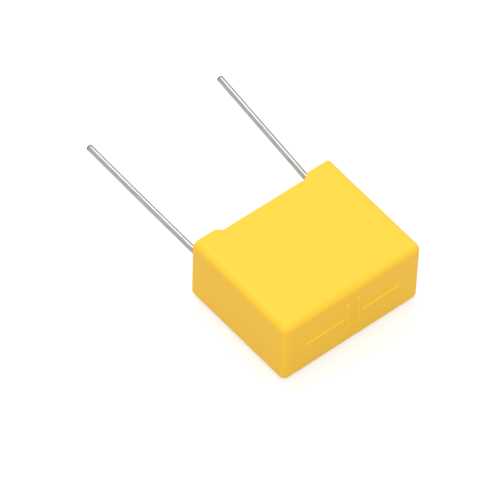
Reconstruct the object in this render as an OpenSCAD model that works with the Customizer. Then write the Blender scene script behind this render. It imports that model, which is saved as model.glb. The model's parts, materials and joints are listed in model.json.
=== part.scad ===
// Box film capacitor with two radial wire leads, lying on one of its broad faces.
// X runs along the lead pitch, +Y runs out along the leads and +Z is up.
// The origin is the middle of the lower broad face, so the case stands on z = 0.
// The case is a thin moulded box, closed at the -Y end and open at the lead end.
// A flattened film winding sits in it, with a sprayed metal contact on each end and a
// lead welded on each contact, and cast resin fills the rest.

/* [Case] */
// Length along the lead pitch, at the rim
case_length = 18; // [15.5:0.1:26]
// Height from the closed end to the feet
case_height = 14.45; // [11:0.05:22]
// Thickness across the two broad faces, at the rim
case_thickness = 8.4; // [6:0.1:13]
// Thickness of the four side walls
case_wall = 0.75; // [0.5:0.05:1]
// Thickness of the closed end
case_floor = 0.9; // [0.5:0.05:1.5]
// Radius of the outer edges
edge_radius = 0.75; // [0.4:0.05:1.6]
// Radius of the cavity's edges
cavity_radius = 0.5; // [0.2:0.05:0.8]
// Draft of each wall, in degrees
draft_angle = 0.3; // [0.1:0.05:0.6]

/* [Feet] */
// Height of the corner feet above the notched middle of the broad walls
foot_height = 0.55; // [0.3:0.05:0.8]
// Width of a foot along the broad wall, up to where its ramp starts
foot_width = 2.8; // [2:0.1:4]
// Length of the ramp from a foot down to the notch
foot_ramp = 1; // [0.5:0.1:2]
// How far the notch between the feet sits off the middle of the case, towards +X
notch_shift = -0.17; // [-0.3:0.01:0.3]

/* [Resin] */
// Depth of the resin's surface below the feet
resin_recess = 1; // [0.9:0.05:1.6]
// Resin over the winding at the lead end
cover_lead_end = 0.7; // [0.3:0.05:1.5]
// Resin under the winding at the closed end
cover_closed_end = 0.6; // [0.2:0.05:1.5]
// Resin between the winding and each broad wall
cover_broad_wall = 0.45; // [0.2:0.05:1]
// Resin between a lead and the end wall beside it
cover_end_wall = 0.4; // [0.3:0.05:1.5]
// How far the winding and its leads sit off the middle of the case, towards +X
winding_shift = 0.1; // [-0.2:0.02:0.2]

/* [Contacts] */
// Thickness of the sprayed metal on each end of the winding
spray_thickness = 0.5; // [0.3:0.05:0.8]

/* [Leads] */
// Diameter of the lead wire
lead_diameter = 0.7; // [0.5:0.05:0.9]
// Depth that a lead sinks into its sprayed contact
weld_depth = 0.1; // [0.05:0.05:0.2]
// Distance from a lead's inner end to the end of the contact
weld_stop = 2.6; // [1:0.1:4]
// Height above the feet at which a lead starts to bend
bend_rise = 0.1; // [0:0.1:3]
// Radius of a lead's centre line where it bends
bend_radius = 8; // [4:0.5:12]
// Lean of the left lead towards +X, in degrees
left_lean_angle = 0.6; // [0.6:0.05:9]
// Lean of the right lead towards +X, in degrees
right_lean_angle = 5.65; // [0.6:0.05:9]
// Straight length of the left lead beyond its bend
reach_left = 19.1; // [3:0.1:30]
// Straight length of the right lead beyond its bend
reach_right = 17.5; // [3:0.1:30]
// Bevel at the cut tip of a lead
tip_bevel = 0.1; // [0.05:0.01:0.2]

/* [Hidden] */

// Colours of the moulding, the resin, the metallised film, the zinc and the tinned wire
case_colour = [1.0, 0.85, 0.15];
resin_colour = [0.93, 0.84, 0.52];
film_colour = [0.80, 0.81, 0.83];
spray_colour = [0.55, 0.55, 0.56];
lead_colour = [0.78, 0.77, 0.75];

// Faces on a quarter of an edge, steps on a foot's ramp, faces round the winding's section,
// round a wire, and round the whole ring that a bend is cut from
edge_steps = 8;
ramp_steps = 8;
winding_fn = 64;
wire_fn = 48;
ring_fn = 360;
// How far a cutter runs past the solid that it opens
overcut = 1;

// Levels along Y: the feet, the outside of the closed end, the resin's surface, the winding
feet_y = case_height / 2;
closed_y = -case_height / 2;
resin_y = feet_y - resin_recess;
winding_top_y = resin_y - cover_lead_end;
winding_bottom_y = closed_y + case_floor + cover_closed_end;
winding_height = winding_top_y - winding_bottom_y;

// The lower broad wall is level, so the upper one shows the draft of both
function draft_at(y) = (feet_y - y) * tan(draft_angle);

// Height of the middle plane, half way along the case
axis_z = (case_thickness - 2 * draft_at(0)) / 2;
winding_thickness = case_thickness - 2 * draft_at(closed_y) - 2 * case_wall - 2 * cover_broad_wall;

// Distance between the leads where they leave the resin, the level at which they start to
// bend, and their straight length below it
lead_pitch = case_length - 2 * (case_wall + cover_end_wall) - lead_diameter;
bend_y = feet_y + bend_rise;
buried_length = bend_y - winding_bottom_y - weld_stop;

// Each contact's outer face lies where its lead sinks in by the weld depth
contact_x = lead_pitch / 2 - lead_diameter / 2 + weld_depth;
winding_x = contact_x - spray_thickness;

// Outline of the case at height y, drawn in by inset, with round corners
function outline(y, inset, radius) =
    let (
        far_x = case_length / 2 - draft_at(y) - inset - radius,
        low_z = inset + radius,
        high_z = case_thickness - 2 * draft_at(y) - inset - radius,
        centres = [[far_x, high_z], [-far_x, high_z], [-far_x, low_z], [far_x, low_z]]
    )
    [
        for (quarter = [0:3])
            for (step = [0:edge_steps])
                let (angle = 90 * (quarter + step / edge_steps))
                [
                    centres[quarter][0] + radius * cos(angle),
                    y,
                    centres[quarter][1] + radius * sin(angle)
                ]
    ];

// Box with drafted sides, round edges and a flat open end: inset inside the case's outside,
// from top_y down to bottom_y, where its edges are rounded by radius
module moulded_box(inset, radius, top_y, bottom_y) {
    rings = concat(
        [outline(top_y, inset, radius)],
        [
            for (step = [0:edge_steps])
                let (
                    angle = 90 * step / edge_steps,
                    drawn_in = radius * (1 - cos(angle)),
                    y = bottom_y + radius * (1 - sin(angle))
                )
                outline(y, inset + drawn_in, max(radius - drawn_in, 0.001))
        ]
    );
    count = len(rings[0]);
    last = len(rings) - 1;
    polyhedron(
        points = [for (ring = rings) each ring],
        faces = concat(
            [[for (i = [0:count - 1]) i]],
            [
                for (k = [0:last - 1])
                    for (i = [0:count - 1])
                        let (j = (i + 1) % count)
                        [k * count + j, k * count + i, (k + 1) * count + i, (k + 1) * count + j]
            ],
            [[for (i = [0:count - 1]) last * count + count - 1 - i]]
        ),
        convexity = 4
    );
}

// Smooth step from 0 to 1, level at both ends
function eased(t) = t * t * (3 - 2 * t);

// Opens the middle of both broad walls, and leaves a foot at each corner
module notch_cutter() {
    foot_x = case_length / 2 - foot_width;
    ramp = [
        for (step = [0:ramp_steps])
            let (t = step / ramp_steps)
            [foot_x - foot_ramp * (1 - t), feet_y - foot_height * (1 - eased(t))]
    ];
    right_side = concat(ramp, [[foot_x, feet_y + overcut]]);
    left_side = [for (i = [len(right_side) - 1:-1:0]) [-right_side[i][0], right_side[i][1]]];
    translate([notch_shift, 0, -overcut])
        linear_extrude(case_thickness + 2 * overcut)
            polygon(concat(right_side, left_side));
}

// Section of the flattened winding: two half circles joined by flats
module winding_section() {
    round_radius = winding_thickness / 2;
    hull()
        for (y = [winding_bottom_y + round_radius, winding_top_y - round_radius])
            translate([y, axis_z])
                circle(r = round_radius, $fn = winding_fn);
}

// Slab of the winding's section between two places along X
module wound_slab(from_x, to_x) {
    translate([winding_shift + from_x, 0, 0])
        rotate([90, 0, 90])
            linear_extrude(to_x - from_x)
                winding_section();
}

// Block that reaches from the Z axis to -X, above its edge on the X axis or below it
module half_block(above) {
    size = bend_radius + 2 * lead_diameter;
    translate([-size, above ? 0 : -size, -lead_diameter])
        cube([size, size, 2 * lead_diameter]);
}

// Wire from its weld to its tip: straight up to the feet, one bend, then straight again at
// its lean. The bend is part of a ring of wire, cut where each straight starts.
module wire(x, lean, reach) {
    radius = lead_diameter / 2;
    translate([winding_shift + x, bend_y, axis_z]) {
        rotate([90, 0, 0])
            cylinder(r = radius, h = buried_length, $fn = wire_fn);
        translate([bend_radius, 0, 0])
            intersection() {
                rotate_extrude($fn = ring_fn)
                    translate([bend_radius, 0])
                        circle(r = radius, $fn = wire_fn);
                half_block(above = true);
                rotate([0, 0, -lean])
                    half_block(above = false);
            }
        translate([bend_radius * (1 - cos(lean)), bend_radius * sin(lean), 0])
            rotate([-90, 0, -lean]) {
                cylinder(r = radius, h = reach - tip_bevel, $fn = wire_fn);
                translate([0, 0, reach - tip_bevel])
                    cylinder(r1 = radius, r2 = radius - tip_bevel, h = tip_bevel, $fn = wire_fn);
            }
    }
}

module left_wire() wire(-lead_pitch / 2, left_lean_angle, reach_left);
module right_wire() wire(lead_pitch / 2, right_lean_angle, reach_right);

module case() {
    color(case_colour)
        difference() {
            moulded_box(0, edge_radius, feet_y, closed_y);
            moulded_box(case_wall, cavity_radius, feet_y + overcut, closed_y + case_floor);
            notch_cutter();
        }
}

module potting_resin() {
    color(resin_colour)
        difference() {
            moulded_box(case_wall, cavity_radius, resin_y, closed_y + case_floor);
            wound_slab(-contact_x, contact_x);
            left_wire();
            right_wire();
        }
}

module film_winding() {
    color(film_colour)
        wound_slab(-winding_x, winding_x);
}

module end_spray_left() {
    color(spray_colour)
        difference() {
            wound_slab(-contact_x, -winding_x);
            left_wire();
        }
}

module end_spray_right() {
    color(spray_colour)
        difference() {
            wound_slab(winding_x, contact_x);
            right_wire();
        }
}

module lead_left() {
    color(lead_colour)
        left_wire();
}

module lead_right() {
    color(lead_colour)
        right_wire();
}

case();
potting_resin();
film_winding();
end_spray_left();
end_spray_right();
lead_left();
lead_right();
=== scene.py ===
"""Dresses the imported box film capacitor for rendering, and sets up its studio.

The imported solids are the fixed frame. The moulded case, its cast resin and both wire leads
get finer surfaces, worked out here as grids of points, and the closed end gets a plain
raised mark. The film winding and its two sprayed contacts are hidden in the resin: they
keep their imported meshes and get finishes. Sizes in this file are in millimetres, and are
turned into metres where a mesh, the camera or a lamp is made.
"""

import json
import logging
import math
from collections.abc import Sequence
from dataclasses import dataclass, field
from enum import Enum

import bpy
import numpy as np
from mathutils import Matrix, Vector


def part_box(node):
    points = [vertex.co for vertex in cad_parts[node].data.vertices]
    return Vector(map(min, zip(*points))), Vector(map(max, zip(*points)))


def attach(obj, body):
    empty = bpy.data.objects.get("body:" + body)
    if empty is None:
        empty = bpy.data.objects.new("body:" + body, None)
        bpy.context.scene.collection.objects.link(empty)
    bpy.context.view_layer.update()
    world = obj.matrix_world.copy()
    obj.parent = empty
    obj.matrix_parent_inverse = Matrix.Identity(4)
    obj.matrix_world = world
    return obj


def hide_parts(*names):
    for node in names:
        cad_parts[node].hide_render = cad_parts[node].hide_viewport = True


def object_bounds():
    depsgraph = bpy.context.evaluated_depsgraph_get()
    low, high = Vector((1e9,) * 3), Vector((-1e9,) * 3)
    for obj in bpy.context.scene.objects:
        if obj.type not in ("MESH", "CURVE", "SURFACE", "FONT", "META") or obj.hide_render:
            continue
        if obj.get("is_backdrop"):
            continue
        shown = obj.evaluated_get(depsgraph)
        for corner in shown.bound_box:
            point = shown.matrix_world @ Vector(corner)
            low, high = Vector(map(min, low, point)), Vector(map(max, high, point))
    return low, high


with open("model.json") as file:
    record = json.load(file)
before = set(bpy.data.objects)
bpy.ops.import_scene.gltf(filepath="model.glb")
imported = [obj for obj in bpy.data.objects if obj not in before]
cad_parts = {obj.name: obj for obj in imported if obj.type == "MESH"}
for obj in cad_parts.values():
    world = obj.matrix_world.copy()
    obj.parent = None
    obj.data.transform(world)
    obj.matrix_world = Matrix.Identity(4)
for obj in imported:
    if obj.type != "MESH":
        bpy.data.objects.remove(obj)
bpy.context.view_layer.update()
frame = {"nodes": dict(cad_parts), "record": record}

MM = 0.001
BODY = "root"

log = logging.getLogger("capacitor")


# ---- Shapes as grids of points ----


def eased(t: np.ndarray) -> np.ndarray:
    """Smooth step: 3 t^2 - 2 t^3, held at 0 below 0 and at 1 above 1.

    Args:
        t: Places along the step.

    Returns:
        The step's height at each place, from 0 to 1.
    """
    t = np.clip(t, 0.0, 1.0)
    return t * t * (3.0 - 2.0 * t)


def spaced(stops: Sequence[float], counts: Sequence[int]) -> np.ndarray:
    """Even steps between stops, with a number of steps of its own for each stretch.

    Args:
        stops: The places that the steps run between.
        counts: Steps in each stretch, one fewer than the stops.

    Returns:
        All places in order, both ends included.
    """
    parts = [
        np.linspace(a, b, n, endpoint=False)
        for a, b, n in zip(stops[:-1], stops[1:], counts)
    ]
    return np.append(np.concatenate(parts), stops[-1])


@dataclass(frozen=True)
class Outline:
    """A rectangle with round corners in the X-Z plane, sampled the same way at every size.

    Attributes:
        long_share: Places along a long side, as shares of half its straight, -1 to 1.
        short_share: Places along a short side, in the same way.
        corner_steps: Steps round each corner.
    """

    long_share: np.ndarray
    short_share: np.ndarray
    corner_steps: int = 12

    def points(
        self, half_x: float, low_z: float, high_z: float, radius: float
    ) -> np.ndarray:
        """The outline's points, from the foot of the right side round over the top.

        A corner's points are its centre plus the radius times (cos a, sin a). The straights
        join the corners, and opposite sides have their points at the same places.

        Args:
            half_x: Half the outline's length along X.
            low_z: Its lowest level.
            high_z: Its highest level.
            radius: Radius of its corners.

        Returns:
            Points of shape (count, 2), as X and Z.
        """
        flat_x = half_x - radius
        low, high = low_z + radius, high_z - radius
        run = self.long_share * flat_x
        rise = (low + high) / 2.0 + self.short_share * (high - low) / 2.0
        quarter = np.linspace(0.0, math.pi / 2.0, self.corner_steps, endpoint=False)
        centres = [(flat_x, high), (-flat_x, high), (-flat_x, low), (flat_x, low)]
        turns = [quarter + k * math.pi / 2.0 for k in range(4)]
        arcs = [
            np.stack([x + radius * np.cos(a), z + radius * np.sin(a)], axis=-1)
            for a, (x, z) in zip(turns, centres)
        ]
        right = np.stack([np.full_like(rise, half_x), rise], axis=-1)[:-1]
        top = np.stack([run, np.full_like(run, high_z)], axis=-1)[:0:-1]
        left = np.stack([np.full_like(rise, -half_x), rise], axis=-1)[:0:-1]
        bottom = np.stack([run, np.full_like(run, low_z)], axis=-1)[:-1]
        sides = (right, top, left, bottom)
        return np.concatenate([part for pair in zip(sides, arcs) for part in pair])


def loop_faces(rows: int, columns: int) -> np.ndarray:
    """Quads between rows of points that close on themselves.

    A quad faces along the rows' direction crossed with the columns' direction.

    Args:
        rows: Number of rows.
        columns: Points in each row.

    Returns:
        Corner numbers of shape (faces, 4).
    """
    row, column = np.meshgrid(np.arange(rows - 1), np.arange(columns), indexing="ij")
    beside = (column + 1) % columns
    corners = [
        row * columns + column,
        (row + 1) * columns + column,
        (row + 1) * columns + beside,
        row * columns + beside,
    ]
    return np.stack(corners, axis=-1).reshape(-1, 4)


@dataclass
class Surface:
    """A closed surface made of rows of points, with a point or a flat face at each end.

    Attributes:
        name: The piece's name.
        rows: Points of shape (rows, columns, 3), in millimetres.
        first_pole: Point that closes the first row, or None for a flat face.
        last_pole: Point that closes the last row, or None for a flat face.
        pattern: Pattern coordinates of the same shape as the rows, or None.
    """

    name: str
    rows: np.ndarray
    first_pole: np.ndarray | None = None
    last_pole: np.ndarray | None = None
    pattern: np.ndarray | None = None

    def build(self) -> bpy.types.Object:
        """Puts the rows, their faces and both ends into a smooth-shaded mesh.

        Returns:
            The new piece, at the origin and linked to the scene.
        """
        count, columns, _ = self.rows.shape
        points = self.rows.reshape(-1, 3)
        faces = loop_faces(count, columns).tolist()
        ring = np.arange(columns)
        end_rings = (ring, (count - 1) * columns + ring[::-1])
        for pole, edge in zip((self.first_pole, self.last_pole), end_rings):
            if pole is None:
                faces.append(edge.tolist())
            else:
                tip = np.full(columns, len(points))
                points = np.vstack([points, pole])
                faces += np.stack([tip, edge, np.roll(edge, -1)], axis=-1).tolist()
        mesh = bpy.data.meshes.new(self.name)
        mesh.from_pydata((points * MM).tolist(), [], faces)
        mesh.validate()
        mesh.shade_smooth()
        if self.pattern is not None:
            layer = mesh.attributes.new(Coordinates.PATTERN.value, "FLOAT_VECTOR", "POINT")
            layer.data.foreach_set("vector", (self.pattern * MM).ravel())
        piece = bpy.data.objects.new(self.name, mesh)
        bpy.context.scene.collection.objects.link(piece)
        return piece


# ---- Finishes ----


# Octaves of the colour's drift and of the grain, and the height of the grain
DRIFT_DETAIL = 3.0
GRAIN_DETAIL = 4.0
GRAIN_HEIGHT = 0.01


class Coordinates(Enum):
    """What a finish's pattern follows: the object, or a vector kept on the surface."""

    OBJECT = "Object"
    PATTERN = "pattern"


def new_group(
    name: str, inputs: dict[str, str], outputs: dict[str, str]
) -> tuple[bpy.types.NodeTree, bpy.types.Node, bpy.types.Node]:
    """Starts a shader node group.

    Args:
        name: The group's name.
        inputs: Socket type of each input.
        outputs: Socket type of each output.

    Returns:
        The group, its input node and its output node.
    """
    group = bpy.data.node_groups.new(name, "ShaderNodeTree")
    for side, sockets in (("INPUT", inputs), ("OUTPUT", outputs)):
        for label, kind in sockets.items():
            group.interface.new_socket(label, in_out=side, socket_type=kind)
    return group, group.nodes.new("NodeGroupInput"), group.nodes.new("NodeGroupOutput")


def make_drift_group() -> bpy.types.NodeTree:
    """Builds the slow drift of a colour: the colour times 1 + amount (n - 1/2), n a noise.

    Returns:
        The group. It puts out the colour, and n for the roughness.
    """
    group, given, result = new_group(
        "tone_drift",
        {
            "Vector": "NodeSocketVector",
            "Color": "NodeSocketColor",
            "Scale": "NodeSocketFloat",
            "Amount": "NodeSocketFloat",
        },
        {"Color": "NodeSocketColor", "Mask": "NodeSocketFloat"},
    )
    nodes, links = group.nodes, group.links
    noise = nodes.new("ShaderNodeTexNoise")
    noise.inputs["Detail"].default_value = DRIFT_DETAIL
    centred = nodes.new("ShaderNodeMath")
    centred.operation = "SUBTRACT"
    centred.inputs[1].default_value = 0.5
    share = nodes.new("ShaderNodeMath")
    share.operation = "MULTIPLY_ADD"
    share.inputs[2].default_value = 1.0
    tinted = nodes.new("ShaderNodeVectorMath")
    tinted.operation = "SCALE"
    links.new(given.outputs["Vector"], noise.inputs["Vector"])
    links.new(given.outputs["Scale"], noise.inputs["Scale"])
    links.new(noise.outputs["Fac"], centred.inputs[0])
    links.new(centred.outputs[0], share.inputs[0])
    links.new(given.outputs["Amount"], share.inputs[1])
    links.new(given.outputs["Color"], tinted.inputs[0])
    links.new(share.outputs[0], tinted.inputs["Scale"])
    links.new(tinted.outputs[0], result.inputs["Color"])
    links.new(noise.outputs["Fac"], result.inputs["Mask"])
    return group


def make_grain_group() -> bpy.types.NodeTree:
    """Builds a fine surface grain: a noise as a height of a hundredth of a millimetre.

    Returns:
        The group. It puts out the normal that the grain gives.
    """
    group, given, result = new_group(
        "surface_grain",
        {
            "Vector": "NodeSocketVector",
            "Scale": "NodeSocketFloat",
            "Depth": "NodeSocketFloat",
        },
        {"Normal": "NodeSocketVector"},
    )
    nodes, links = group.nodes, group.links
    noise = nodes.new("ShaderNodeTexNoise")
    noise.inputs["Detail"].default_value = GRAIN_DETAIL
    bump = nodes.new("ShaderNodeBump")
    bump.inputs["Distance"].default_value = GRAIN_HEIGHT * MM
    links.new(given.outputs["Vector"], noise.inputs["Vector"])
    links.new(given.outputs["Scale"], noise.inputs["Scale"])
    links.new(given.outputs["Depth"], bump.inputs["Strength"])
    links.new(noise.outputs["Fac"], bump.inputs["Height"])
    links.new(bump.outputs["Normal"], result.inputs["Normal"])
    return group


@dataclass(frozen=True)
class Finish:
    """A finish with a drifting colour and a fine grain.

    Attributes:
        name: The material's name.
        slot: The record's slot for the material; not used.
        colour: Base colour, linear.
        roughness: The shader's roughness where the drift is half way.
        roughness_spread: How far the roughness drifts to either side.
        metallic: 1 for bare metal, 0 for everything else.
        specular: The shader's specular level.
        edge_tint: Grey that tints what is reflected at a glancing angle.
        subsurface: Share of light that scatters under the surface.
        subsurface_depth: How far it scatters, in millimetres.
        subsurface_reach: Share of that depth which red, green and blue light reach.
        drift_size: Size of the colour's drift, in millimetres.
        drift_amount: Strength of the colour's drift.
        grain_size: Size of the grain, in millimetres.
        grain_depth: Strength of the grain.
        stretch: Scale of the pattern along each of its coordinates.
        coordinates: What the pattern follows.
        end_reach: How far the dull tone of a cut end reaches, in millimetres, or 0.
        end_shade: Share of the colour that a cut end keeps.
        end_roughness: Roughness that a cut end gains.
    """

    name: str
    slot: str
    colour: tuple[float, float, float]
    roughness: float = 0.4
    roughness_spread: float = 0.05
    metallic: float = 0.0
    specular: float = 0.5
    edge_tint: float = 1.0
    subsurface: float = 0.0
    subsurface_depth: float = 0.3
    subsurface_reach: tuple[float, float, float] = (1.0, 0.55, 0.15)
    drift_size: float = 6.0
    drift_amount: float = 0.03
    grain_size: float = 0.2
    grain_depth: float = 0.1
    stretch: tuple[float, float, float] = (1.0, 1.0, 1.0)
    coordinates: Coordinates = Coordinates.OBJECT
    end_reach: float = 0.0
    end_shade: float = 1.0
    end_roughness: float = 0.0

    def build(self, groups: dict[str, bpy.types.NodeTree]) -> bpy.types.Material:
        """Builds the material from its numbers and the shared groups.

        Args:
            groups: The shared node groups by name.

        Returns:
            The material.
        """
        material = bpy.data.materials.new(self.name)
        material.use_nodes = True
        nodes, links = material.node_tree.nodes, material.node_tree.links
        shader = nodes["Principled BSDF"]
        shader.inputs["Metallic"].default_value = self.metallic
        shader.inputs["Specular IOR Level"].default_value = self.specular
        shader.inputs["Specular Tint"].default_value = (*[self.edge_tint] * 3, 1.0)
        shader.inputs["Subsurface Weight"].default_value = self.subsurface
        shader.inputs["Subsurface Radius"].default_value = self.subsurface_reach
        shader.inputs["Subsurface Scale"].default_value = self.subsurface_depth * MM
        stretch = nodes.new("ShaderNodeMapping")
        stretch.inputs["Scale"].default_value = self.stretch
        drift = nodes.new("ShaderNodeGroup")
        drift.node_tree = groups["tone_drift"]
        drift.inputs["Color"].default_value = (*self.colour, 1.0)
        drift.inputs["Scale"].default_value = 1.0 / (self.drift_size * MM)
        drift.inputs["Amount"].default_value = self.drift_amount
        grain = nodes.new("ShaderNodeGroup")
        grain.node_tree = groups["surface_grain"]
        grain.inputs["Scale"].default_value = 1.0 / (self.grain_size * MM)
        grain.inputs["Depth"].default_value = self.grain_depth
        gloss = nodes.new("ShaderNodeMapRange")
        gloss.inputs["To Min"].default_value = self.roughness - self.roughness_spread
        gloss.inputs["To Max"].default_value = self.roughness + self.roughness_spread
        place = self.place_vector(nodes)
        colour, rough = drift.outputs["Color"], gloss.outputs["Result"]
        if self.end_reach > 0.0:
            colour, rough = self.dull_end(nodes, links, place, colour, rough)
        links.new(place, stretch.inputs["Vector"])
        links.new(stretch.outputs["Vector"], drift.inputs["Vector"])
        links.new(stretch.outputs["Vector"], grain.inputs["Vector"])
        links.new(drift.outputs["Mask"], gloss.inputs["Value"])
        links.new(rough, shader.inputs["Roughness"])
        links.new(colour, shader.inputs["Base Color"])
        links.new(grain.outputs["Normal"], shader.inputs["Normal"])
        return material

    def dull_end(
        self,
        nodes: bpy.types.Nodes,
        links: bpy.types.NodeLinks,
        place: bpy.types.NodeSocket,
        colour: bpy.types.NodeSocket,
        rough: bpy.types.NodeSocket,
    ) -> tuple[bpy.types.NodeSocket, bpy.types.NodeSocket]:
        """Dulls the finish towards a cut end, where the pattern's second coordinate is 0.

        A smooth step of that coordinate over the end's reach takes the colour's factor from
        the end's shade to 1, and the added roughness from the end's own to 0.

        Args:
            nodes: The material's nodes.
            links: Their links.
            place: Where on the piece a point lies.
            colour: The colour away from the end.
            rough: The roughness away from the end.

        Returns:
            The colour and the roughness.
        """
        parted = nodes.new("ShaderNodeSeparateXYZ")
        links.new(place, parted.inputs["Vector"])
        steps = []
        for at_end, away in ((self.end_shade, 1.0), (self.end_roughness, 0.0)):
            step = nodes.new("ShaderNodeMapRange")
            step.interpolation_type = "SMOOTHSTEP"
            step.inputs["From Max"].default_value = self.end_reach * MM
            step.inputs["To Min"].default_value = at_end
            step.inputs["To Max"].default_value = away
            links.new(parted.outputs["Y"], step.inputs["Value"])
            steps.append(step.outputs["Result"])
        shaded = nodes.new("ShaderNodeVectorMath")
        shaded.operation = "SCALE"
        links.new(colour, shaded.inputs[0])
        links.new(steps[0], shaded.inputs["Scale"])
        summed = nodes.new("ShaderNodeMath")
        links.new(rough, summed.inputs[0])
        links.new(steps[1], summed.inputs[1])
        return shaded.outputs[0], summed.outputs[0]

    def place_vector(self, nodes: bpy.types.Nodes) -> bpy.types.NodeSocket:
        """Adds the node that tells where on the piece a point lies.

        Args:
            nodes: The material's nodes.

        Returns:
            The node's output.
        """
        if self.coordinates is Coordinates.OBJECT:
            return nodes.new("ShaderNodeTexCoord").outputs["Object"]
        kept = nodes.new("ShaderNodeAttribute")
        kept.attribute_name = self.coordinates.value
        return kept.outputs["Vector"]


CASE_PLASTIC = Finish(
    name="satin_yellow_moulding",
    slot="case_plastic",
    colour=(0.95, 0.565, 0.045),
    roughness=0.45,
    roughness_spread=0.04,
    specular=0.14,
    subsurface=0.1,
    drift_size=7.0,
    drift_amount=0.02,
    grain_size=0.12,
    grain_depth=0.05,
)
RESIN = Finish(
    name="cast_yellow_resin",
    slot="potting_resin",
    colour=(0.72, 0.46, 0.10),
    roughness=0.22,
    roughness_spread=0.06,
    subsurface=0.2,
    drift_size=3.0,
    drift_amount=0.12,
    grain_size=0.5,
    grain_depth=0.15,
)
TINNED_WIRE = Finish(
    name="tinned_wire",
    slot="tinned_wire",
    colour=(0.41, 0.397, 0.385),
    roughness=0.31,
    roughness_spread=0.04,
    metallic=1.0,
    edge_tint=0.5,
    drift_size=0.22,
    drift_amount=0.7,
    grain_size=0.08,
    grain_depth=0.3,
    stretch=(1.0, 0.15, 1.0),
    coordinates=Coordinates.PATTERN,
    end_reach=0.5,
    end_shade=0.5,
    end_roughness=0.2,
)
METALLISED_FILM = Finish(
    name="metallised_film",
    slot="metallised_film",
    colour=(0.66, 0.67, 0.70),
    roughness=0.25,
    metallic=0.8,
    drift_size=0.4,
    drift_amount=0.15,
    grain_size=0.15,
    grain_depth=0.2,
    stretch=(0.1, 1.0, 1.0),
)
SPRAYED_ZINC = Finish(
    name="sprayed_zinc",
    slot="sprayed_zinc",
    colour=(0.38, 0.38, 0.39),
    roughness=0.62,
    roughness_spread=0.1,
    metallic=0.9,
    drift_size=0.3,
    drift_amount=0.3,
    grain_size=0.1,
    grain_depth=0.9,
)


@dataclass
class Wardrobe:
    """The built materials, and the calls that put one on a piece.

    Attributes:
        materials: Each finish's material, by the finish's name.
    """

    materials: dict[str, bpy.types.Material] = field(init=False)

    def __post_init__(self) -> None:
        """Builds the shared groups once, and each finish from them."""
        groups = {"tone_drift": make_drift_group(), "surface_grain": make_grain_group()}
        finishes = (CASE_PLASTIC, RESIN, TINNED_WIRE, METALLISED_FILM, SPRAYED_ZINC)
        self.materials = {finish.name: finish.build(groups) for finish in finishes}

    def dress(
        self, piece: bpy.types.Object, finish: Finish, node: str | None = None
    ) -> None:
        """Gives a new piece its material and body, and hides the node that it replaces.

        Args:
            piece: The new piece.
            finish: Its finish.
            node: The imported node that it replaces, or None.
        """
        piece.data.materials.append(self.materials[finish.name])
        if node is not None:
            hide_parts(node)
        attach(piece, BODY)
        log.info("%s: %d points, %s", piece.name, len(piece.data.vertices), finish.name)

    def dress_packed(self, node: str, finish: Finish) -> None:
        """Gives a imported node's own mesh its material.

        Args:
            node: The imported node's name.
            finish: Its finish.
        """
        mesh = frame["nodes"][node].data
        mesh.materials.clear()
        mesh.materials.append(self.materials[finish.name])
        log.info("%s: packed mesh, %s", node, finish.name)


# ---- The capacitor's sub-assemblies ----


def corners_in_mm(node: str) -> tuple[np.ndarray, np.ndarray]:
    """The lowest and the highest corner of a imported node, in millimetres."""
    low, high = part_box(node)
    return np.array(low) / MM, np.array(high) / MM


# Radius that stands for a sharp corner, and keeps its points apart
SHARP_RADIUS = 0.001
# Least radius of a row's corners on the resin's surface
LEAST_RADIUS = 0.02


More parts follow.
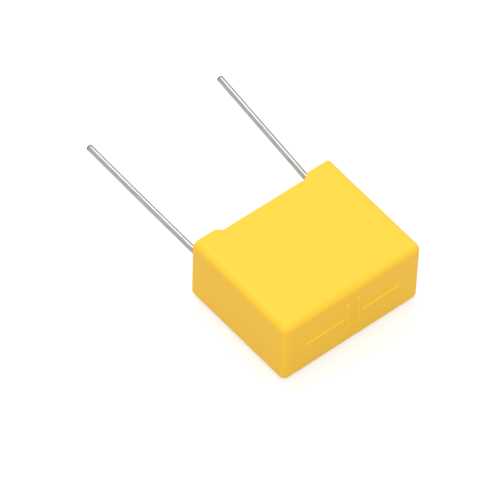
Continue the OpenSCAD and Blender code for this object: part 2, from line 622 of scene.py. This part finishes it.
@dataclass
class Moulding:
    """The drafted box that the case's outside, its cavity and the resin share.

    Attributes:
        draft_angle: Draft of each wall, in degrees.
        edge_radius: Radius of the case's outer edges.
        cavity_radius: Radius of the cavity's edges.
        foot_height: Height of the corner feet above the notched middle.
        foot_width: Width of a foot, up to where its ramp starts.
        foot_ramp: Length of the ramp from a foot down to the notch.
        notch_shift: How far the notch sits off the middle, towards +X.
        ramp_margin: How far the points that lie close run on past a ramp.
        long_steps: Steps along a long side: foot, ramp, notch, ramp and foot.
        short_stops: Where the steps along a short side change, as shares of half of it.
        short_steps: Steps between those.
        flat_shares: Rows over a closed end's flat part, as shares of its size.
        edge_rows: Rows round the edge of a closed end.
        outside: Lowest and highest corner of the case.
        inside: Lowest and highest corner of the resin.
        outline: The places of the points round the box.
    """

    draft_angle: float = 0.3
    edge_radius: float = 0.75
    cavity_radius: float = 0.5
    foot_height: float = 0.55
    foot_width: float = 2.8
    foot_ramp: float = 1.0
    notch_shift: float = -0.17
    ramp_margin: float = 0.3
    long_steps: tuple[int, ...] = (6, 36, 30, 36, 6)
    short_stops: tuple[float, ...] = (-1.0, -0.35, 0.35, 1.0)
    short_steps: tuple[int, ...] = (6, 26, 6)
    flat_shares: tuple[float, ...] = (0.2, 0.5, 0.8, 0.985)
    edge_rows: int = 15
    outside: tuple[np.ndarray, np.ndarray] = field(init=False)
    inside: tuple[np.ndarray, np.ndarray] = field(init=False)
    outline: Outline = field(init=False)

    def __post_init__(self) -> None:
        """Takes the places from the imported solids, and sets points close on the ramps."""
        self.outside = corners_in_mm("case")
        self.inside = corners_in_mm("potting_resin")
        foot = self.outside[1][0] - self.foot_width + self.ramp_margin
        notch = foot - self.foot_ramp - 2.0 * self.ramp_margin
        places = np.array([-foot, -notch, notch, foot]) + self.notch_shift
        stops = [-1.0, *places / (self.outside[1][0] - self.edge_radius), 1.0]
        self.outline = Outline(
            long_share=spaced(stops, self.long_steps),
            short_share=spaced(self.short_stops, self.short_steps),
        )

    def draft(self, y: float) -> float:
        """How far a wall is drawn in at level y: depth below the rim times tan(draft)."""
        return (self.outside[1][1] - y) * math.tan(math.radians(self.draft_angle))

    @property
    def wall(self) -> float:
        """Thickness of the side walls."""
        resin_y = self.inside[1][1]
        return self.outside[1][0] - self.inside[1][0] - self.draft(resin_y)

    def row(self, y: float, inset: float, radius: float) -> np.ndarray:
        """One row of points round the box at level y.

        The lower wall is level, so the upper one draws in by twice the draft.

        Args:
            y: Level along Y.
            inset: Distance inside the case's outer surface.
            radius: Radius of the row's corners.

        Returns:
            Points of shape (columns, 3).
        """
        low, high = self.outside
        drawn = self.draft(y) + inset
        flat = self.outline.points(
            high[0] - drawn, low[2] + inset, high[2] - self.draft(y) - drawn, radius
        )
        return np.stack([flat[:, 0], np.full(len(flat), y), flat[:, 1]], axis=-1)

    def walls(
        self, bottom_y: float, top_y: float, inset: float, radius: float, steps: int
    ) -> list[np.ndarray]:
        """Rows over a closed end and up the side walls.

        The end's flat part scales a sharp-cornered outline from its middle. Its edge is a
        quarter circle: drawn in by r (1 - cos a) at level bottom + r (1 - sin a).

        Args:
            bottom_y: Level of the closed end.
            top_y: Level of the last row.
            inset: Distance of the walls inside the case's outer surface.
            radius: Radius of the edges.
            steps: Number of steps up the walls.

        Returns:
            The rows in order.
        """
        flat = self.row(bottom_y, inset + radius, SHARP_RADIUS)
        middle = middle_of(flat)
        rows = [middle + (flat - middle) * share for share in self.flat_shares]
        for angle in np.radians(np.linspace(90.0, 0.0, self.edge_rows)):
            drawn = radius * (1.0 - math.cos(angle))
            y = bottom_y + radius * (1.0 - math.sin(angle))
            rows.append(self.row(y, inset + drawn, max(radius - drawn, SHARP_RADIUS)))
        levels = spaced([bottom_y + radius, top_y], [steps])[1:]
        return rows + [self.row(y, inset, radius) for y in levels]


def middle_of(points: np.ndarray) -> np.ndarray:
    """The middle of the box round some points."""
    return (points.min(axis=0) + points.max(axis=0)) / 2.0


@dataclass
class CaseShell:
    """The moulded case: a drafted box with a closed end, and a rim with four corner feet.

    Attributes:
        moulding: The box that it is made from.
        lip_radius: Radius of the rim's two edges.
        lip_rows: Rows round each of those edges.
        lip_depth: Depth below the rim from which the rows follow it.
        level_gap: Depth below the notches at which the walls' level rows end.
        outer_steps: Steps up the outside of the walls.
        inner_steps: Steps up their inside.
    """

    moulding: Moulding
    lip_radius: float = 0.03
    lip_rows: int = 5
    lip_depth: float = 0.2
    level_gap: float = 0.4
    outer_steps: int = 20
    inner_steps: int = 10

    def rim_level(self, x: np.ndarray) -> np.ndarray:
        """Level of the rim: the notch's level plus the feet's height times a smooth step.

        Args:
            x: Places along X.

        Returns:
            Levels along Y.
        """
        form = self.moulding
        high = form.outside[1]
        start = high[0] - form.foot_width - form.foot_ramp
        rise = eased((np.abs(x - form.notch_shift) - start) / form.foot_ramp)
        return high[1] - form.foot_height * (1.0 - rise)

    def rim(self) -> list[np.ndarray]:
        """Rows over the rim: two small quarter circles with a flat between them.

        They follow the rim's level, so they carry the feet, their ramps and the notches.

        Returns:
            The rows from the outside to the inside.
        """
        form, lip = self.moulding, self.lip_radius
        turn = np.linspace(0.0, math.pi / 2.0, self.lip_rows)
        bend_in, bend_up = lip * (1.0 - np.cos(turn)), lip * (1.0 - np.sin(turn))
        insets = [0.0, *bend_in, *(form.wall - bend_in[::-1]), form.wall]
        depths = [self.lip_depth, *bend_up, *bend_up[::-1], self.lip_depth]
        rows = []
        for inset, depth in zip(insets, depths):
            share = inset / form.wall
            radius = form.edge_radius + (form.cavity_radius - form.edge_radius) * share
            row = form.row(form.outside[1][1], inset, radius)
            row[:, 1] = self.rim_level(row[:, 0]) - depth
            rows.append(row)
        return rows

    def build(self) -> bpy.types.Object:
        """Builds one closed wall: up the outside, over the rim, and down into the cavity.

        Returns:
            The shell.
        """
        form = self.moulding
        low_y, floor_y = form.outside[0][1], form.inside[0][1]
        top_y = form.outside[1][1] - form.foot_height - self.level_gap
        outer = form.walls(low_y, top_y, 0.0, form.edge_radius, self.outer_steps)
        inner = form.walls(
            floor_y, top_y, form.wall, form.cavity_radius, self.inner_steps
        )
        rows = np.array(outer + self.rim() + inner[::-1])
        return Surface("case_shell", rows, middle_of(rows[0]), middle_of(rows[-1])).build()

    def dress(self, wardrobe: Wardrobe) -> None:
        """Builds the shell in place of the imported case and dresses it."""
        wardrobe.dress(self.build(), CASE_PLASTIC, "case")


@dataclass
class RaisedMark:
    """A plain raised mark on the closed end: the circuit symbol of a capacitor.

    Attributes:
        moulding: The box that it stands on.
        line_end: How far each connecting line reaches from the middle.
        plate_gap: Distance from the middle to each plate's middle line.
        plate_half: Half the height of a plate.
        stroke_width: Width of a stroke, half way up its sides.
        slope_width: Width of a stroke's sloping side.
        height: How far the strokes stand out.
        sunk: How far the ground between the strokes lies below the case's surface.
        spacing: Distance between the grid's points.
    """

    moulding: Moulding
    line_end: float = 6.0
    plate_gap: float = 0.7
    plate_half: float = 2.1
    stroke_width: float = 0.48
    slope_width: float = 0.2
    height: float = 0.2
    sunk: float = 0.03
    spacing: float = 0.04

    def strokes(self) -> np.ndarray:
        """The strokes' middle lines, from the mark's middle.

        Returns:
            Start X, start Z, end X and end Z of each stroke.
        """
        gap, half, end = self.plate_gap, self.plate_half, self.line_end
        return np.array(
            [
                (-gap, -half, -gap, half),
                (gap, -half, gap, half),
                (-end, 0.0, -gap, 0.0),
                (gap, 0.0, end, 0.0),
            ]
        )

    def level(self, x: np.ndarray, z: np.ndarray) -> np.ndarray:
        """How far the mark stands out: a smooth step of the distance to the nearest stroke.

        The distance to a stroke is that to the nearest point between its two ends.

        Args:
            x: Places along X from the mark's middle.
            z: Places along Z from the mark's middle.

        Returns:
            The heights, below 0 on the ground between the strokes.
        """
        start, end = self.strokes()[:, :2], self.strokes()[:, 2:]
        run = end - start
        place = np.stack([x, z], axis=-1)[..., None, :] - start
        share = (place * run).sum(axis=-1) / (run * run).sum(axis=-1)
        away = place - np.clip(share, 0.0, 1.0)[..., None] * run
        distance = np.hypot(away[..., 0], away[..., 1]).min(axis=-1)
        foot = (self.stroke_width + self.slope_width) / 2.0
        rise = eased((foot - distance) / self.slope_width)
        return (self.height + self.sunk) * rise - self.sunk

    def build(self) -> bpy.types.Object:
        """Builds a thin slab in the end wall, with the strokes on its outer side.

        Each row keeps one level of Z. It runs over the strokes towards -X, and its last two
        points lie inside the wall.

        Returns:
            The slab.
        """
        low, high = self.moulding.outside
        middle_z = (low[2] + high[2]) / 2.0 - self.moulding.draft(low[1])
        margin = self.stroke_width + self.slope_width
        reach_x, reach_z = self.line_end + margin, self.plate_half + margin
        across = spaced([reach_x, -reach_x], [round(2.0 * reach_x / self.spacing)])
        upward = spaced([-reach_z, reach_z], [round(2.0 * reach_z / self.spacing)])
        z, x = np.meshgrid(upward, across, indexing="ij")
        front = np.stack([x, low[1] - self.level(x, z), z + middle_z], axis=-1)
        back = front[:, [-1, 0], :].copy()
        back[:, :, 1] = low[1] + 2.0 * self.sunk
        return Surface("raised_mark", np.concatenate([front, back], axis=1)).build()

    def dress(self, wardrobe: Wardrobe) -> None:
        """Builds the mark and dresses it in the case's plastic."""
        wardrobe.dress(self.build(), CASE_PLASTIC)


@dataclass
class WireLead:
    """A tinned wire lead: straight in the resin, bent at the rim, then straight to its tip.

    Attributes:
        node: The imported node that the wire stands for.
        mount: The record's mount that states the free straight.
        bow: How far the wire has been pushed towards +X at its foot.
        bend_radius: Radius of the bend's centre line.
        tip_round: Radius of the tip's edge, and the tip's reach beyond the free straight.
        sides: Points round the wire.
        steps: Steps along the inner end, the buried straight, the bend, the free straight
            and the tip.
        radius: Radius of the wire.
        start: Start of the free straight.
        end: End of the free straight.
        lean: Lean of the free straight from +Y towards +X, in radians.
        bend_start: Where the bend starts.
    """

    node: str
    mount: str
    bow: float = 0.0
    bend_radius: float = 8.0
    tip_round: float = 0.1
    sides: int = 48
    steps: tuple[int, ...] = (8, 50, 12, 150, 8)
    radius: float = field(init=False)
    start: np.ndarray = field(init=False)
    end: np.ndarray = field(init=False)
    lean: float = field(init=False)
    bend_start: np.ndarray = field(init=False)

    def __post_init__(self) -> None:
        """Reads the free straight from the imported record, and steps back over the bend."""
        stated = {m["name"]: m for m in frame["record"]["mounts"]}[self.mount]
        self.radius = stated["dims"]["r_mm"]
        direction = np.array(stated["axis"], float)
        centre = np.array(stated["pos_m"], float) / MM
        half = direction * stated["dims"]["length_mm"] / 2.0
        self.start, self.end = centre - half, centre + half
        self.lean = math.atan2(direction[0], direction[1])
        back_x = self.bend_radius * (1.0 - math.cos(self.lean))
        back_y = self.bend_radius * math.sin(self.lean)
        self.bend_start = self.start - np.array([back_x, back_y, 0.0])

    @property
    def place(self) -> tuple[float, float]:
        """X and Z of the wire's centre where it leaves the resin."""
        return float(self.bend_start[0] + self.bow), float(self.bend_start[2])

    def path(self) -> tuple[np.ndarray, np.ndarray, np.ndarray, np.ndarray]:
        """The centre line.

        The buried straight runs along Y. In the bend a point at turn a is the bend's start
        plus its radius times (1 - cos a, sin a). The free straight keeps the last heading.
        The bow fades to nothing at the tip as the square of the share that is left. At each
        end the radius falls along a quarter circle.

        Returns:
            Places along the wire, points, headings and radii.
        """
        turned = self.bend_radius * self.lean
        buried = self.bend_start[1] - corners_in_mm(self.node)[0][1]
        free = float(np.linalg.norm(self.end - self.start)) + self.tip_round
        total, tip = buried + turned + free, self.tip_round
        stops = [0.0, tip, buried, buried + turned, total - tip, total]
        s = spaced(stops, self.steps)
        turn = np.clip((s - buried) / self.bend_radius, 0.0, self.lean)
        after = np.maximum(s - buried - turned, 0.0)
        before = np.minimum(s - buried, 0.0)
        x = self.bend_radius * (1.0 - np.cos(turn)) + after * math.sin(self.lean)
        y = self.bend_radius * np.sin(turn) + after * math.cos(self.lean) + before
        x += self.bow * np.clip((total - s) / free, 0.0, 1.0) ** 2
        points = self.bend_start + np.stack([x, y, np.zeros_like(x)], axis=-1)
        share = 1.0 - np.clip(np.minimum(s, total - s) / tip, 0.0, 1.0)
        return s, points, turn, self.radius - tip * (1.0 - np.sqrt(1.0 - share**2))

    def build(self) -> bpy.types.Object:
        """Builds the wire: a circle carried along the centre line, square to it.

        Its pattern coordinates unbend it, so that drawing lines follow the wire: a point's
        place on the circle, and its distance from the tip along the wire.

        Returns:
            The wire.
        """
        s, points, turn, radii = self.path()
        across = np.stack([np.cos(turn), -np.sin(turn), np.zeros_like(turn)], axis=-1)
        angle = np.linspace(0.0, 2.0 * math.pi, self.sides, endpoint=False)
        level = (radii[:, None] * np.cos(angle))[..., None] * across[:, None, :]
        rise = (radii[:, None] * np.sin(angle))[..., None] * np.array([0.0, 0.0, 1.0])
        rows = points[:, None, :] + level + rise
        place, along = np.meshgrid(angle, s[-1] - s)
        pattern = np.stack(
            [self.radius * np.cos(place), along, self.radius * np.sin(place)], axis=-1
        )
        return Surface(self.node.replace("lead", "wire"), rows, pattern=pattern).build()

    def dress(self, wardrobe: Wardrobe) -> None:
        """Builds the wire in place of its packed lead and dresses it."""
        wardrobe.dress(self.build(), TINNED_WIRE, self.node)


@dataclass
class ResinFill:
    """The cast resin: the cavity's shape, closed by the surface that the resin set with.

    Attributes:
        moulding: The box that it fills.
        wires: The leads that come out of it.
        wall_climb: How far the surface climbs the walls.
        wall_reach: How far from a wall the climb is felt.
        wire_climb: How far the surface climbs the leads.
        wire_reach: How far from a lead the climb is felt.
        sag: How far the surface sags to its middle.
        overlap: How far the surface runs into the wall.
        stops: Distances from the wall at which the surface's steps change.
        middle_gap: Distance from the last row to the middle line.
        surface_steps: Steps over the surface, the wall's edge first.
        wall_steps: Steps up the walls.
        edge_depth: Depth below the resin's level at which those end.
    """

    moulding: Moulding
    wires: list[WireLead]
    wall_climb: float = 0.22
    wall_reach: float = 0.16
    wire_climb: float = 0.18
    wire_reach: float = 0.14
    sag: float = 0.05
    overlap: float = 0.02
    stops: tuple[float, ...] = (0.5, 2.0)
    middle_gap: float = 0.25
    surface_steps: tuple[int, ...] = (16, 22, 6)
    wall_steps: int = 10
    edge_depth: float = 0.1

    def surface(self) -> list[np.ndarray]:
        """Rows over the resin's surface, from the cavity's wall to its middle.

        The level is the resin's, plus a climb times exp(-distance / reach) for the wall and
        for each lead, less a sag that eases in towards the middle.

        Returns:
            The rows in order.
        """
        form = self.moulding
        low, high = form.inside
        half = (high[2] - low[2]) / 2.0
        places = [-self.overlap, *self.stops, half - self.middle_gap]
        rows = []
        for step in spaced(places, self.surface_steps):
            radius = max(form.cavity_radius - step, LEAST_RADIUS)
            row = form.row(high[1], form.wall + step, radius)
            climb = self.wall_climb * math.exp(-max(step, 0.0) / self.wall_reach)
            row[:, 1] += climb - self.sag * eased(step / half)
            for wire in self.wires:
                x, z = wire.place
                away = np.hypot(row[:, 0] - x, row[:, 2] - z) - wire.radius
                away = np.maximum(away, 0.0)
                row[:, 1] += self.wire_climb * np.exp(-away / self.wire_reach)
            rows.append(row)
        return rows

    def build(self) -> bpy.types.Object:
        """Builds the resin as one closed body.

        Returns:
            The resin.
        """
        form = self.moulding
        low_y, high_y = form.inside[0][1], form.inside[1][1]
        top_y = high_y - self.edge_depth
        rows = form.walls(low_y, top_y, form.wall, form.cavity_radius, self.wall_steps)
        rows = np.array(rows + self.surface())
        return Surface("resin_fill", rows, middle_of(rows[0])).build()

    def dress(self, wardrobe: Wardrobe) -> None:
        """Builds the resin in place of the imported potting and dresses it."""
        wardrobe.dress(self.build(), RESIN, "potting_resin")


@dataclass
class SealedWinding:
    """The film winding and its two sprayed contacts, which the resin hides.

    Attributes:
        finishes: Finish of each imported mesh.
    """

    finishes: dict[str, Finish] = field(
        default_factory=lambda: {
            "film_winding": METALLISED_FILM,
            "end_spray_left": SPRAYED_ZINC,
            "end_spray_right": SPRAYED_ZINC,
        }
    )

    def dress(self, wardrobe: Wardrobe) -> None:
        """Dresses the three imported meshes."""
        for node, finish in self.finishes.items():
            wardrobe.dress_packed(node, finish)


# ---- The studio ----


def seen_rays(nodes: bpy.types.Nodes, links: bpy.types.NodeLinks) -> bpy.types.NodeSocket:
    """Adds a background's switch: 1 for rays that the camera, a gloss or a glass sends.

    Args:
        nodes: Nodes of a material or of the world.
        links: Their links.

    Returns:
        The switch's output.
    """
    path = nodes.new("ShaderNodeLightPath")
    seen = path.outputs["Is Camera Ray"]
    for ray in ("Is Glossy Ray", "Is Transmission Ray"):
        either = nodes.new("ShaderNodeMath")
        either.operation = "MAXIMUM"
        links.new(seen, either.inputs[0])
        links.new(path.outputs[ray], either.inputs[1])
        seen = either.outputs[0]
    return seen


@dataclass(frozen=True)
class Lamp:
    """An oblong lamp that faces the part.

    Attributes:
        name: The lamp's name.
        towards: Direction from the part to the lamp.
        distance: From the part to the lamp.
        width: Its width along X.
        length: Its length square to that.
        strength: Brightness that it adds to a white surface that faces it.
    """

    name: str
    towards: tuple[float, float, float]
    distance: float
    width: float
    length: float
    strength: float

    def place(self, aim: np.ndarray) -> None:
        """Adds the lamp. Its power is strength times pi squared times distance squared.

        Args:
            aim: The point that it faces, in millimetres.
        """
        data = bpy.data.lights.new(self.name, "AREA")
        data.shape = "RECTANGLE"
        data.size, data.size_y = self.width * MM, self.length * MM
        data.energy = self.strength * math.pi**2 * (self.distance * MM) ** 2
        lamp = bpy.data.objects.new(self.name, data)
        towards = Vector(self.towards).normalized()
        lamp.location = (Vector(aim) + towards * self.distance) * MM
        lamp.rotation_euler = towards.to_track_quat("Z", "Y").to_euler()
        bpy.context.scene.collection.objects.link(lamp)


STRIP_LAMP = Lamp(
    name="strip",
    towards=(0.206, 0.476, 0.855),
    distance=400.0,
    width=195.0,
    length=480.0,
    strength=0.47,
)
FRONT_LAMP = Lamp(
    name="front",
    towards=(-0.5, -0.5, 0.7),
    distance=500.0,
    width=400.0,
    length=400.0,
    strength=0.38,
)


@dataclass
class Studio:
    """Floor, soft light, and the camera that looks down on the part.

    Attributes:
        azimuth: Camera's turn round the part from -Y towards +X, in degrees.
        elevation: Camera's height above the horizon, in degrees.
        roll: Camera's turn about its own line of sight, in degrees.
        distance: From the camera to the part's aim point.
        sensor_width: Width of the camera's sensor.
        lens: Focal length.
        clip: Nearest and farthest distance that the camera sees.
        aim_right: How far right of the picture's middle the aim point sits.
        aim_up: How far above the picture's middle the aim point sits.
        floor_size: Length of the floor's sides.
        floor_gap: How far the floor lies under the part's lowest point.
        paper_grey: How much light the floor's paper gives back.
        paper_roughness: The paper's roughness.
        paper_specular: The paper's specular level.
        sky: Strength of the even light from all round.
        glow: Strength of the paper's own glow.
    """

    azimuth: float = -40.739
    elevation: float = 50.866
    roll: float = 1.8775
    distance: float = 433.451
    sensor_width: float = 36.0
    lens: float = 309.396
    clip: tuple[float, float] = (10.0, 10000.0)
    aim_right: float = 5.7367
    aim_up: float = -2.0107
    floor_size: float = 3000.0
    floor_gap: float = 0.005
    paper_grey: float = 0.55
    paper_roughness: float = 0.9
    paper_specular: float = 0.1
    sky: float = 0.735
    glow: float = 0.5

    def camera(self) -> None:
        """Places the camera from its angles and distance, and makes it the scene's own."""
        azimuth, elevation, roll = np.radians((self.azimuth, self.elevation, self.roll))
        flat = math.cos(elevation)
        back = Vector(
            (math.sin(azimuth) * flat, -math.cos(azimuth) * flat, math.sin(elevation))
        )
        level = Vector((math.cos(azimuth), math.sin(azimuth), 0.0))
        steep = back.cross(level)
        right = level * math.cos(roll) + steep * math.sin(roll)
        up = steep * math.cos(roll) - level * math.sin(roll)
        place = Vector(middle_of(np.array(corners_in_mm("case")))) + back * self.distance
        place -= right * self.aim_right + up * self.aim_up
        data = bpy.data.cameras.new("camera")
        data.sensor_width = self.sensor_width
        data.lens = self.lens
        data.clip_start, data.clip_end = self.clip[0] * MM, self.clip[1] * MM
        camera = bpy.data.objects.new("camera", data)
        turned = Matrix((right, up, back)).transposed().to_4x4()
        camera.matrix_world = Matrix.Translation(place * MM) @ turned
        bpy.context.scene.collection.objects.link(camera)
        bpy.context.scene.camera = camera

    def floor(self) -> None:
        """Builds the pale floor that the part lies on, just under its lowest point."""
        half = self.floor_size / 2.0
        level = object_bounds()[0][2] / MM - self.floor_gap
        corners = np.array([(-half, -half), (half, -half), (half, half), (-half, half)])
        points = np.column_stack([corners, np.full(4, level)]) * MM
        mesh = bpy.data.meshes.new("floor")
        mesh.from_pydata(points.tolist(), [], [[0, 1, 2, 3]])
        mesh.materials.append(self.paper())
        floor = bpy.data.objects.new("floor", mesh)
        bpy.context.scene.collection.objects.link(floor)
        floor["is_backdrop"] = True

    def paper(self) -> bpy.types.Material:
        """Builds matt paper that looks white and keeps a soft shadow.

        Its glow counts for rays that the camera, a gloss or a glass sends, so it adds no
        light to the part.

        Returns:
            The material.
        """
        material = bpy.data.materials.new("white_paper")
        material.use_nodes = True
        nodes, links = material.node_tree.nodes, material.node_tree.links
        shader = nodes["Principled BSDF"]
        shader.inputs["Base Color"].default_value = (*[self.paper_grey] * 3, 1.0)
        shader.inputs["Roughness"].default_value = self.paper_roughness
        shader.inputs["Specular IOR Level"].default_value = self.paper_specular
        strength = nodes.new("ShaderNodeMath")
        strength.operation = "MULTIPLY"
        strength.inputs[1].default_value = self.glow
        glow = nodes.new("ShaderNodeEmission")
        both = nodes.new("ShaderNodeAddShader")
        links.new(seen_rays(nodes, links), strength.inputs[0])
        links.new(strength.outputs[0], glow.inputs["Strength"])
        links.new(shader.outputs[0], both.inputs[0])
        links.new(glow.outputs[0], both.inputs[1])
        links.new(both.outputs[0], nodes["Material Output"].inputs["Surface"])
        return material

    def light(self) -> None:
        """Adds even light from all round, a strip lamp behind the part and one in front."""
        world = bpy.data.worlds.new("studio")
        bpy.context.scene.world = world
        world.use_nodes = True
        nodes, links = world.node_tree.nodes, world.node_tree.links
        level = nodes.new("ShaderNodeMapRange")
        level.inputs["To Min"].default_value = self.sky
        level.inputs["To Max"].default_value = 1.0
        background = nodes["Background"]
        background.inputs["Color"].default_value = (1.0, 1.0, 1.0, 1.0)
        links.new(seen_rays(nodes, links), level.inputs["Value"])
        links.new(level.outputs["Result"], background.inputs["Strength"])
        aim = middle_of(np.array(corners_in_mm("case")))
        for lamp in (STRIP_LAMP, FRONT_LAMP):
            lamp.place(aim)


def main() -> None:
    """Builds the camera, the pieces and the studio in order."""
    logging.basicConfig(level=logging.INFO, format="%(name)s: %(message)s")
    studio = Studio()
    studio.camera()
    moulding = Moulding()
    wires = [
        WireLead("lead_left", "lead_left_wire", bow=0.09),
        WireLead("lead_right", "lead_right_wire"),
    ]
    parts = [
        CaseShell(moulding),
        RaisedMark(moulding),
        ResinFill(moulding, wires),
        *wires,
        SealedWinding(),
    ]
    wardrobe = Wardrobe()
    for part in parts:
        part.dress(wardrobe)
    studio.floor()
    studio.light()
    bpy.context.scene.view_settings.view_transform = "Standard"


if __name__ == "__main__":
    main()
